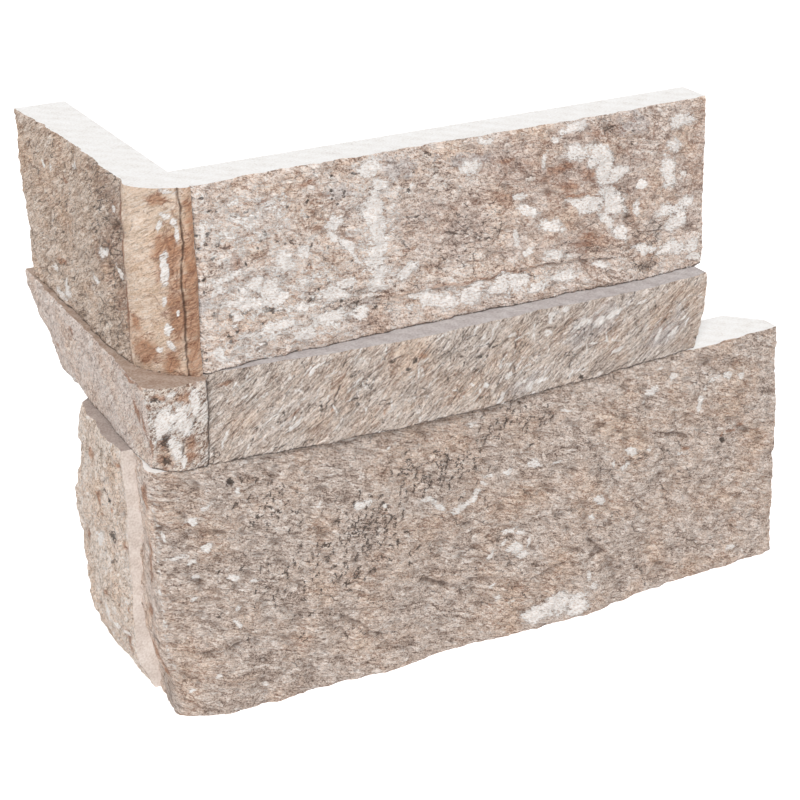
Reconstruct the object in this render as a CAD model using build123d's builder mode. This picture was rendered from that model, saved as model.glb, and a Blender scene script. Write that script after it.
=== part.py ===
"""Split face stone ledger corner: three courses of glued stones that turn an outside corner.

Every stone is sawn flat on its beds, its back and its joints, and split rough on the faces that
show. The courses turn the corner by turns: in the middle and top courses the short stone runs
through to the front, in the bottom course the long stone runs through to the side.

Millimetres. X runs along the long leg, Y goes back along the short leg, Z is up. The origin is
at the middle of the base. Plan points are measured from the inner corner, where the two sawn
backs meet.
"""

import os
from math import hypot, sin

from build123d import *

# Course heights, from the base up: a 3 inch, a 1 inch and a 2 inch course
bottom_height = 75
middle_height = 25
top_height = 50

# Reach of each long stone, from the inner corner to its sawn far end
bottom_long_reach = 190
middle_long_reach = 158
top_long_reach = 161

# Reach of each short stone, from the inner corner back to its far end
bottom_short_reach = 48
middle_short_reach = 79
top_short_reach = 73

# How far the stones that run through the corner stand out past its inner corner
bottom_nose = 17.5
middle_nose = 21
top_nose = 17

# Thickness of each long stone at even steps from the inner corner outwards, along its lower and
# its upper edge
bottom_long_lower = (23.3, 23, 24.7, 22.9, 24.9, 25.6, 22, 21.2, 21)
bottom_long_upper = (18.5, 18.5, 19, 18, 18.5, 19, 18, 17.5, 15.5)
middle_long_lower = (19, 22, 23.5, 24, 24.5, 23, 21.5, 20, 17)
middle_long_upper = (17, 19, 21.5, 23, 23, 22.5, 23, 22.5, 21.5)
top_long_lower = (17.5, 16.5, 15.5, 15, 15, 15, 15.5, 16, 15)
top_long_upper = (14, 12.8, 12.8, 13, 13, 12.8, 12.5, 12, 10.8)

# Thickness of each short stone at even steps from its far end to the inner corner, likewise
bottom_short_lower = (15.5, 16, 16.5, 15.5)
bottom_short_upper = (15, 16.5, 18, 17.5)
middle_short_lower = (10.5, 11, 11.6, 12.8, 14, 14.8)
middle_short_upper = (13.8, 14.8, 15.4, 15.9, 16.6, 17.3)
top_short_lower = (13, 13.3, 13.7, 14.1, 14.5, 14.5)
top_short_upper = (15.5, 14.5, 13.8, 13.4, 13.8, 14.6)

# Plan of the split ends at the outside corner: shares of the thickness and of the nose
top_end_lower = ((0.8, 0.45), (0.4, 0.92), (0, 1.1))
top_end_upper = ((1, 0.35), (0.55, 0.7), (0, 0.9))
middle_end_lower = ((1, 0.67), (0.62, 0.93), (0, 0.98))
middle_end_upper = ((1, 0.88), (0.7, 1.03), (0, 1))
bottom_end = ((0, 0.78), (0.45, 0.9), (0.9, 1))

# Where the broken ends of the bottom course stand, level by level: the share of the height, and
# the share of the nose or of the reach that is left there
bottom_nose_levels = ((0, 0.7), (0.17, 0.7), (0.27, 1), (0.6, 0.93), (1, 1))
bottom_short_levels = ((0, 0.76), (0.15, 0.82), (0.45, 0.95), (0.6, 1), (1, 0.82))

# Split faces: size of the facets, and the ripple and the flake scars that the splitter leaves
facet_size = 8
ripple_height = 0.7
long_ripple = 7
short_ripple = 4
scar_reach = 20
scar_height = 1.4
bed_edge_relief = 0.3

# Places of the scars, as shares of the run and of the height, with their size and their height
# as multiples of the sizes above. A height below nothing is a dish.
top_long_scars = ((0.15, 0.6, 1, 0.8), (0.42, 0.45, 1.2, -0.9), (0.68, 0.7, 1.1, 1.1), (0.92, 0.3, 0.8, -1))
top_short_scars = ((0.3, 0.4, 0.8, -0.8), (0.62, 0.6, 1, 0.8), (0.85, 0.5, 0.7, 0.7))
middle_long_scars = ((0.25, 0.55, 0.8, 0.6), (0.6, 0.4, 1, -0.8), (0.88, 0.55, 0.7, 0.6))
middle_short_scars = ((0.35, 0.5, 0.9, 0.6), (0.68, 0.55, 0.7, -0.6))
bottom_long_scars = (
    (0.3, 0.55, 1.5, 1),
    (0.52, 0.35, 1.3, -1),
    (0.7, 0.6, 1.5, 1),
    (0.9, 0.4, 1, -0.8),
)
bottom_short_scars = ((0.55, 0.5, 1.2, 0.7), (0.8, 0.7, 0.8, -0.6))

# Saw cuts trim blocks that start this much too large
saw_allowance = 6

# Broken corners and lower edges
back_corner_chip = 9
base_chip_height = 10
base_chip_depth = 4
far_chip_height = 18
far_chip_length = 20

# The origin is at the middle of the base. The inner corner lies off it, because the split faces
# stand out less than the legs reach.
side_stand_out = 18
front_stand_out = 26
corner = Plane(
    origin=(
        (side_stand_out - bottom_long_reach) / 2,
        (front_stand_out - middle_short_reach) / 2,
        0,
    )
)
long_back = Plane(origin=corner.origin, z_dir=(0, 1, 0))
short_back = Plane(origin=corner.origin, z_dir=(1, 0, 0))

middle_floor = bottom_height
top_floor = bottom_height + middle_height


def long_face(thicknesses, reach):
    """Plan points of a split face along the long leg, from the inner corner outwards."""
    step = reach / (len(thicknesses) - 1)
    points = [(index * step, -thickness) for index, thickness in enumerate(thicknesses)]
    return points + [(reach + saw_allowance, -thicknesses[-1])]


def short_face(thicknesses, reach):
    """Plan points of a split face along the short leg, from its far end to the inner corner."""
    step = reach / (len(thicknesses) - 1)
    return [(-thickness, reach - index * step) for index, thickness in enumerate(thicknesses)]


def front_end(shape, thickness, nose):
    """Plan points of the split end of a short stone that runs through to the front."""
    points = [(-side * thickness, -front * nose) for side, front in shape]
    return points + [(saw_allowance, points[-1][1])]


def side_end(shape, thickness, nose):
    """Plan points of the split end of a long stone that runs through to the side."""
    points = [(-side * nose, -front * thickness) for front, side in shape]
    return [(points[0][0], saw_allowance)] + points


def between(lower, upper, share):
    """Thicknesses part of the way up a stone."""
    return [low + (high - low) * share for low, high in zip(lower, upper)]


def relief(run, rise, length, height, scars):
    """How far the split face stands out of its plan line, at one place on the face."""
    wave = sin(run / long_ripple + rise / short_ripple)
    cross_wave = sin(run / short_ripple - rise / long_ripple)
    bulge = ripple_height * (wave + cross_wave) / 2
    for run_share, rise_share, size, tallness in scars:
        away = hypot(run - run_share * length, rise - rise_share * height) / (size * scar_reach)
        if away < 1:
            bulge += tallness * scar_height * (1 - away**2)
    return bulge


def split_rows(plans, back_points, floor, height, scars):
    """Level sections of a stone, from its lower bed to its upper bed.

    The plans are outlines of the split face, each with the share of the height that it is at.
    The bed edges keep close to their plans, and between them the face is faceted both ways.
    """
    lines = []
    for level, points in plans:
        with BuildLine():
            lines.append((level, Polyline(*points)))
    length = lines[-1][1].length
    columns = round(length / facet_size)
    rows = round(height / facet_size)
    sections = []
    for row in range(rows + 1):
        share = row / rows
        below, above = next(pair for pair in zip(lines, lines[1:]) if share <= pair[1][0])
        blend = (share - below[0]) / (above[0] - below[0])
        standing_out = bed_edge_relief if row in (0, rows) else 1
        face = []
        for column in range(columns + 1):
            place = column / columns
            spot = (below[1] @ place) * (1 - blend) + (above[1] @ place) * blend
            tangent = above[1] % place
            outward = Vector(tangent.Y, -tangent.X)
            bulge = relief(place * length, share * height, length, height, scars)
            face.append(spot + outward * bulge * standing_out)
        with BuildSketch(corner.offset(floor + share * height)) as section:
            with BuildLine():
                Polyline(*face, *back_points, close=True)
            make_face()
        sections.append(section.sketch)
    return sections


def long_stone_rows(lower, upper, reach, floor, height, scars):
    """Sections of a long stone that butts on the side of a short one."""
    plans = [
        (level, [(-saw_allowance, -thicknesses[0])] + long_face(thicknesses, reach))
        for level, thicknesses in ((0, lower), (1, upper))
    ]
    back_points = [(reach + saw_allowance, saw_allowance), (-saw_allowance, saw_allowance)]
    return split_rows(plans, back_points, floor, height, scars)


def short_stone_rows(lower, upper, end_lower, end_upper, nose, reach, floor, height, scars):
    """Sections of a short stone that runs through to the front."""
    plans = [
        (
            level,
            [(-thicknesses[0], reach + saw_allowance)]
            + short_face(thicknesses, reach)
            + front_end(end_shape, thicknesses[-1], nose),
        )
        for level, thicknesses, end_shape in ((0, lower, end_lower), (1, upper, end_upper))
    ]
    return split_rows(plans, [(saw_allowance, reach + saw_allowance)], floor, height, scars)


# Bottom course, long stone: it runs through to the side, where its lower corner is broken away
bottom_long_plans = [
    (
        level,
        side_end(bottom_end, bottom_long_upper[0], kept * bottom_nose)
        + long_face(between(bottom_long_lower, bottom_long_upper, level), bottom_long_reach),
    )
    for level, kept in bottom_nose_levels
]
bottom_long_rows = split_rows(
    bottom_long_plans,
    [(bottom_long_reach + saw_allowance, saw_allowance)],
    0,
    bottom_height,
    bottom_long_scars,
)
with BuildPart() as bottom_long_stone:
    loft(bottom_long_rows, ruled=True)
    split(bisect_by=long_back, keep=Keep.BOTTOM)
    split(bisect_by=short_back.offset(bottom_long_reach), keep=Keep.BOTTOM)
    far_edges = bottom_long_stone.edges().filter_by(Axis.Z).group_by(Axis.X)[-1]
    chamfer(far_edges.sort_by(Axis.Y)[-1], length=back_corner_chip)
bottom_long_stone.part.label = "bottom_long_stone"

# Bottom course, short stone: it butts on the back of the long stone. Its far end is broken, not
# sawn, and its outer lower edge is chipped away.
bottom_short_plans = []
for level, kept in bottom_short_levels:
    thicknesses = between(bottom_short_lower, bottom_short_upper, level)
    broken_reach = kept * bottom_short_reach
    bottom_short_plans.append(
        (
            level,
            [(saw_allowance, broken_reach)]
            + short_face(thicknesses, broken_reach)
            + [(-thicknesses[-1], -saw_allowance)],
        )
    )
bottom_short_rows = split_rows(
    bottom_short_plans, [(saw_allowance, -saw_allowance)], 0, bottom_height, bottom_short_scars
)
with BuildPart() as bottom_short_stone:
    loft(bottom_short_rows, ruled=True)
    split(bisect_by=short_back, keep=Keep.BOTTOM)
    split(bisect_by=long_back, keep=Keep.TOP)
    chip_foot = corner.origin - Vector(bottom_short_lower[-1] - base_chip_depth, 0, 0)
    split(
        bisect_by=Plane(origin=chip_foot, z_dir=(-base_chip_height, 0, -base_chip_depth)),
        keep=Keep.BOTTOM,
    )
bottom_short_stone.part.label = "bottom_short_stone"

# Middle course, long stone: the thickest, it stands proud of the courses above and below
middle_long_rows = long_stone_rows(
    middle_long_lower,
    middle_long_upper,
    middle_long_reach,
    middle_floor,
    middle_height,
    middle_long_scars,
)
with BuildPart() as middle_long_stone:
    loft(middle_long_rows, ruled=True)
    split(bisect_by=long_back, keep=Keep.BOTTOM)
    split(bisect_by=short_back, keep=Keep.TOP)
    split(bisect_by=short_back.offset(middle_long_reach), keep=Keep.BOTTOM)
middle_long_stone.part.label = "middle_long_stone"

# Middle course, short stone: it runs through to the front with a square end, and the lower
# corner of its far end is broken off
middle_short_rows = short_stone_rows(
    middle_short_lower,
    middle_short_upper,
    middle_end_lower,
    middle_end_upper,
    middle_nose,
    middle_short_reach,
    middle_floor,
    middle_height,
    middle_short_scars,
)
with BuildPart() as middle_short_stone:
    loft(middle_short_rows, ruled=True)
    split(bisect_by=short_back, keep=Keep.BOTTOM)
    split(bisect_by=long_back.offset(middle_short_reach), keep=Keep.BOTTOM)
    chip_foot = corner.origin + Vector(0, middle_short_reach - far_chip_length, middle_floor)
    split(
        bisect_by=Plane(origin=chip_foot, z_dir=(0, far_chip_height, -far_chip_length)),
        keep=Keep.BOTTOM,
    )
middle_short_stone.part.label = "middle_short_stone"

# Top course, long stone
top_long_rows = long_stone_rows(
    top_long_lower, top_long_upper, top_long_reach, top_floor, top_height, top_long_scars
)
with BuildPart() as top_long_stone:
    loft(top_long_rows, ruled=True)
    split(bisect_by=long_back, keep=Keep.BOTTOM)
    split(bisect_by=short_back, keep=Keep.TOP)
    split(bisect_by=short_back.offset(top_long_reach), keep=Keep.BOTTOM)
top_long_stone.part.label = "top_long_stone"

# Top course, short stone: it runs through to the front, and its corner is split off aslant
top_short_rows = short_stone_rows(
    top_short_lower,
    top_short_upper,
    top_end_lower,
    top_end_upper,
    top_nose,
    top_short_reach,
    top_floor,
    top_height,
    top_short_scars,
)
with BuildPart() as top_short_stone:
    loft(top_short_rows, ruled=True)
    split(bisect_by=short_back, keep=Keep.BOTTOM)
    split(bisect_by=long_back.offset(top_short_reach), keep=Keep.BOTTOM)
top_short_stone.part.label = "top_short_stone"

os.makedirs("parts", exist_ok=True)
for stone in (
    bottom_long_stone,
    bottom_short_stone,
    middle_long_stone,
    middle_short_stone,
    top_long_stone,
    top_short_stone,
):
    export_step(stone.part, f"parts/{stone.part.label}.step")
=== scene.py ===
"""Split face stone ledger corner: six split quartzite stones, sawn and glued in three courses."""

from math import cos, radians, sin, tau

import bmesh
import bpy
import numpy as np
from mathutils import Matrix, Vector
from mathutils.bvhtree import BVHTree


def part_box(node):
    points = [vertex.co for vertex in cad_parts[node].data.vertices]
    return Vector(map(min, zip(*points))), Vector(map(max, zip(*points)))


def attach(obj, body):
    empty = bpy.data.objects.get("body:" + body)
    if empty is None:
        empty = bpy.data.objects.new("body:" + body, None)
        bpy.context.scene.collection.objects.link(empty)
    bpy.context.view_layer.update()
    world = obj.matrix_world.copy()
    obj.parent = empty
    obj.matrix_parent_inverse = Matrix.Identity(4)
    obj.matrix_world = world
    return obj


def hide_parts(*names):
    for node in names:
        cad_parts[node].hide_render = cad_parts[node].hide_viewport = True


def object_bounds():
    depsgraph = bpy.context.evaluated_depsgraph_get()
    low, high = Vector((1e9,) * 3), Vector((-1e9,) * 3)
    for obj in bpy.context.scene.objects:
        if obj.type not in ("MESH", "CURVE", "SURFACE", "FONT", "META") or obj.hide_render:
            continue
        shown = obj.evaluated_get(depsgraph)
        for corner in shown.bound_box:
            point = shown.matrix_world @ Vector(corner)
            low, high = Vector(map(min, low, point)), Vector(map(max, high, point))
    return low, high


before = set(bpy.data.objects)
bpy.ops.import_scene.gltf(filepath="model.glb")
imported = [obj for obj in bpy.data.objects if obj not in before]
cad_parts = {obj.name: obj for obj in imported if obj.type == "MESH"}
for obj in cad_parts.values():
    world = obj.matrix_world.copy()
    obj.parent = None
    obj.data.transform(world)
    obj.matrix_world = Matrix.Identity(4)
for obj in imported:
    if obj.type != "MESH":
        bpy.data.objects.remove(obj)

cad_low, cad_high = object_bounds()
mm = 0.001

# The inner corner, where the two sawn backs meet. Every stone is set out from here, in mm.
corner = Vector((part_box("top_short_stone")[1].x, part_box("top_long_stone")[1].y, 0))


# The photographer's camera stands to the left of the corner and looks down on it, with a long lens
camera_from_corner = Vector((-196.2, -473.1, 316.2))
camera_elevation = 24.32
camera_azimuth = -29.14
picture_pixels = 800
focal_pixels = 2094
camera = bpy.data.objects.new("camera", bpy.data.cameras.new("camera"))
camera.data.sensor_width = 36
camera.data.lens = camera.data.sensor_width * focal_pixels / picture_pixels
camera.location = corner + camera_from_corner * mm
camera.rotation_euler = (radians(90 - camera_elevation), 0, radians(camera_azimuth))
bpy.context.scene.collection.objects.link(camera)
bpy.context.scene.camera = camera
bpy.context.scene.view_settings.view_transform = "Standard"


# Bottom course, long stone: grey-brown quartzite, split by a guillotine along its face and its
# left end, and sawn on its beds, its back and its far end. It stands on its lower bed and
# carries the other courses.
def straight(start, end, outward, step):
    """Sight lines square off the back of a stone, as plan points from start to end in mm."""
    count = round((Vector(end) - Vector(start)).length / step)
    return [(Vector(start).lerp(end, index / count), Vector(outward)) for index in range(count + 1)]


def around(pivot, first, last, step):
    """Sight lines that turn about a plan point on the back, from one bearing to another."""
    count = round(abs(last - first) / step)
    bearings = [radians(first + (last - first) * index / count) for index in range(count + 1)]
    return [(Vector(pivot), Vector((cos(angle), sin(angle)))) for angle in bearings]


def evened(field, reach):
    """A field of values over a face, evened out over a number of steps each way."""
    for _ in range(2):
        for axis in (0, 1):
            field = np.moveaxis(field, axis, 0)
            padded = np.pad(field, ((reach + 1, reach), (0, 0)), mode="reflect", reflect_type="odd")
            total = np.cumsum(padded, axis=0)
            field = (total[2 * reach + 1 :] - total[: -2 * reach - 1]) / (2 * reach + 1)
            field = np.moveaxis(field, 0, axis)
    return field


def skin(name, lines, step, evening, start_of=None):
    """Where the sight lines leave the CAD stone, row by row from its lower to its upper bed.

    It gives the place, the rise and the way out, in mm from the inner corner. The facets of the
    CAD stone are evened out over some steps. start_of moves the start of a line at some heights.
    """
    low, high = ((place - corner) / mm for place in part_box(name))
    tree = BVHTree.FromObject(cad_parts[name], bpy.context.evaluated_depsgraph_get())
    heights = np.linspace(low.z, high.z, round((high.z - low.z) / step) + 1)
    inset = 0.02
    x = np.zeros((len(heights), len(lines)))
    y = np.zeros_like(x)
    distance = 0
    for row, height in enumerate(heights):
        level = min(max(height, low.z + inset), high.z - inset)
        for column, (origin, outward) in enumerate(lines):
            start = Vector((origin.x, origin.y if start_of is None else start_of(origin.y, height)))
            probe = Vector((max(start.x, low.x + inset), max(start.y, low.y + inset), level))
            probe.x = min(probe.x, high.x - inset)
            probe.y = min(probe.y, high.y - inset) - (0 if start_of is None else inset)
            hit = tree.ray_cast(corner + probe * mm, outward.to_3d())
            distance = hit[3] if hit[0] else distance
            x[row, column] = start.x + outward.x * distance / mm
            y[row, column] = start.y + outward.y * distance / mm
    rise = np.repeat(heights[:, None], len(lines), axis=1)
    out_x = np.array([outward.x for _, outward in lines])
    out_y = np.array([outward.y for _, outward in lines])
    return evened(x, evening), evened(y, evening), rise, out_x, out_y


def unrolled(x, y):
    """How far along the outline of a face each place lies, in mm, counted back from its end."""
    lengths = np.hypot(np.diff(x.mean(axis=0)), np.diff(y.mean(axis=0)))
    along = np.concatenate([[0], np.cumsum(lengths)])
    return np.broadcast_to(along - along[-1], x.shape)


def swells(run, rise, seed):
    """Smooth random values over a face, mostly between -1 and 1, about one swell to each unit."""
    size = 97
    angles = np.random.default_rng(seed).uniform(0, tau, (size, size))
    column = np.floor(run).astype(int)
    row = np.floor(rise).astype(int)
    total = np.zeros_like(run)
    for right in (0, 1):
        for up in (0, 1):
            angle = angles[(row + up) % size, (column + right) % size]
            away_run = run - column - right
            away_rise = rise - row - up
            near_run = 1 - np.abs(away_run)
            near_rise = 1 - np.abs(away_rise)
            weight = (near_run * near_rise) ** 2 * (3 - 2 * near_run) * (3 - 2 * near_rise)
            total += weight * (np.cos(angle) * away_run + np.sin(angle) * away_rise)
    return 1.6 * total


def rough(run, rise, size, seed, octaves=4):
    """Swells of a size in mm with finer swells on them, each half as large and half as high."""
    total = np.zeros_like(run)
    for octave in range(octaves):
        scale = 2**octave / size
        total += swells(run * scale, rise * scale, seed + octave) / 2**octave
    return total / 1.5


def along_grain(run, rise, tilt, length, width):
    """The run and rise in the directions of a tilted grain, in units of its length and width."""
    turn = radians(tilt)
    along = (run * cos(turn) + rise * sin(turn)) / length
    across = (rise * cos(turn) - run * sin(turn)) / width
    return along, across


def cleaved(run, rise, tilt, seed, ridge, flake, hackle, fibre):
    """How far a split face stands out in mm: sharp ridges, flakes in steps, hackles and fibres."""
    ridges = 1 - 2.4 * np.abs(rough(*along_grain(run, rise, tilt - 30, 17, 11), 1, seed + 30, 3))
    steps = 3
    field = rough(*along_grain(run, rise, tilt, 24, 14), 1, seed, 5) * steps
    level = np.floor(field)
    share = np.clip((field - level - 0.5) * 6 + 0.5, 0, 1)
    flakes = (level + share * share * (3 - 2 * share)) / steps
    hackles = rough(run, rise, 4.5, seed + 10)
    fibres = rough(*along_grain(run, rise, tilt, 8, 1.8), 1, seed + 20, 3)
    return ridge * ridges + flake * flakes + hackle * hackles + fibre * fibres - 0.5


def spots(run, rise, places, wander):
    """How far inside the nearest of some spots each place lies: 1 at a middle, 0 outside.

    A spot is its run, its rise, half its length and height in mm, and any tilt in degrees.
    """
    field = np.zeros_like(run)
    wavy_run = run + 1.3 * rough(run, rise, 5, 61)
    wavy_rise = rise + 1.3 * rough(run, rise, 5, 65)
    for spot_run, spot_rise, length, height, *tilt in places:
        away = (wavy_run - spot_run, wavy_rise - spot_rise)
        along, across = along_grain(*away, sum(tilt), length, height)
        field = np.maximum(field, np.clip(1.3 - np.hypot(along, across) + wander, 0, 1))
    return field


def tracks(run, rise, paths, width):
    """1 on lines through some places of the face, falling to 0 at a width to each side."""
    wander = 0.5 * rough(run, rise, 3, 71)
    field = np.zeros_like(run)
    for path in paths:
        for (run_a, rise_a), (run_b, rise_b) in zip(path, path[1:]):
            ends = (min(run_a, run_b) - 3, max(run_a, run_b) + 3)
            near = (slice(None), slice(*np.searchsorted(run.mean(axis=0), ends)))
            length = np.hypot(run_b - run_a, rise_b - rise_a)
            share = (run[near] - run_a) * (run_b - run_a) + (rise[near] - rise_a) * (rise_b - rise_a)
            share = np.clip(share / length**2, 0, 1)
            away_run = run[near] - run_a - share * (run_b - run_a) + wander[near]
            away_rise = rise[near] - rise_a - share * (rise_b - rise_a) + wander[near]
            line = np.clip(1 - np.hypot(away_run, away_rise) / width, 0, 1)
            field[near] = np.maximum(field[near], line)
    return field


def hairlines(seed, count, middle, reach, bearing, length):
    """Paths for tracks: short kinked lines scattered about a middle, near one bearing."""
    rng = np.random.default_rng(seed)
    paths = []
    for _ in range(count):
        place = np.array(middle) + rng.normal(0, 0.5, 2) * reach
        heading = radians(bearing) + rng.normal(0, 0.3)
        path = [tuple(place)]
        for _ in range(3):
            heading += rng.normal(0, 0.45)
            place = place + length / 3 * np.array((cos(heading), sin(heading)))
            path.append(tuple(place))
        paths.append(path)
    return paths


def ledges(run, rise, paths, drop):
    """How far the face falls back just below some ledges that cross it."""
    ledge_height = 0.5
    fade = 5
    wander = 0.6 * rough(run, rise, 6, 81)
    fall = np.zeros_like(run)
    for path in paths:
        runs, rises = zip(*path)
        below = np.interp(run, runs, rises) - rise + wander
        ends = np.clip((run - runs[0]) / 3, 0, 1) * np.clip((runs[-1] - run) / 3, 0, 1)
        step = np.clip(below / ledge_height, 0, 1) * np.exp(-np.clip(below, 0, None) / fade)
        fall = np.maximum(fall, drop * ends * step)
    return fall


def worn_edges(rise, chips):
    """How far a face falls back at its two bed edges, where small flakes have broken off."""
    edge_width = 1.6
    least = 0.35
    deepest_chip = 0.5
    lower = np.clip(1 - (rise - rise[0, 0]) / edge_width, 0, 1) ** 2
    upper = np.clip(1 - (rise[-1, 0] - rise) / edge_width, 0, 1) ** 2
    return (lower + upper) * (least + deepest_chip * np.clip(chips, 0, 1))


def worn_end(run, rise, least, spread, seed):
    """How far a face falls back over the last few millimetres before its far end."""
    worn_length = 5
    worn = np.clip((run - run.max() + worn_length) / worn_length, 0, 1) ** 2
    return worn * (least + spread * rough(run, rise, 11, seed, 3))


def sleeve(name, x, y, rise, back, fields):
    """Rolls a grid into a stone: its split face, its sawn back and its two sawn beds."""
    rows = x.shape[0]
    split_columns = x.shape[1] - 1
    ends = [np.broadcast_to(np.array(point, float).reshape(2, -1), (2, rows)) for point in back]
    all_x = np.column_stack([x] + [end[0] for end in ends] + [x[:, 0]])
    all_y = np.column_stack([y] + [end[1] for end in ends] + [y[:, 0]])
    columns = all_x.shape[1]
    all_rise = np.repeat(rise[:, :1], columns, axis=1)
    bm = bmesh.new()
    bmesh.ops.create_grid(bm, x_segments=columns - 1, y_segments=rows - 1, size=1)
    bm.faces.index_update()
    for face in bm.faces:
        is_split = face.index % (columns - 1) < split_columns
        face.material_index = 0 if is_split else 1
        face.smooth = is_split
    places = np.stack([all_x.ravel(), all_y.ravel(), all_rise.ravel()], axis=1) * mm + np.array(corner)
    places = np.clip(places, np.array(cad_low), np.array(cad_high))
    for vertex, place in zip(bm.verts, places.tolist()):
        vertex.co = place
    layers = {key: bm.verts.layers.float.new(key) for key in fields}
    for key, field in fields.items():
        padded = np.zeros_like(all_x)
        padded[:, : split_columns + 1] = field
        padded[:, -1] = field[:, 0]
        for vertex, value in zip(bm.verts, padded.ravel().tolist()):
            vertex[layers[key]] = value
    rims = [vertex for vertex in bm.verts if vertex.is_boundary]
    bmesh.ops.remove_doubles(bm, verts=rims, dist=0.001 * mm)
    for face in bmesh.ops.holes_fill(bm, edges=bm.edges, sides=0)["faces"]:
        face.material_index = 2
        face.smooth = False
    for edge in bm.edges:
        edge.smooth = len({face.material_index for face in edge.link_faces}) == 1
    bmesh.ops.recalc_face_normals(bm, faces=bm.faces)
    mesh = bpy.data.meshes.new(name)
    bm.to_mesh(mesh)
    bm.free()
    stone = bpy.data.objects.new(name, mesh)
    bpy.context.scene.collection.objects.link(stone)
    return stone


def srgb(code):
    """An sRGB hex colour as the linear RGBA that the shaders take."""
    channels = [int(code[place : place + 2], 16) / 255 for place in (1, 3, 5)]
    return [c / 12.92 if c <= 0.04045 else ((c + 0.055) / 1.055) ** 2.4 for c in channels] + [1]


def add(tree, kind, inputs, stops=(), **settings):
    """Adds a shader node with its inputs, settings and a ramp's stops, and gives its outputs.

    An input is a value, or the socket that feeds it.
    """
    node = tree.nodes.new(f"ShaderNode{kind}")
    for key, value in settings.items():
        setattr(node, key, value)
    for key, value in inputs.items():
        if isinstance(value, bpy.types.NodeSocket):
            tree.links.new(value, node.inputs[key])
        else:
            node.inputs[key].default_value = value
    for index, (place, code) in enumerate(stops):
        elements = node.color_ramp.elements
        element = elements[index] if index < 2 else elements.new(place)
        element.position = place
        element.color = srgb(code)
    return node.outputs


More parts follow.
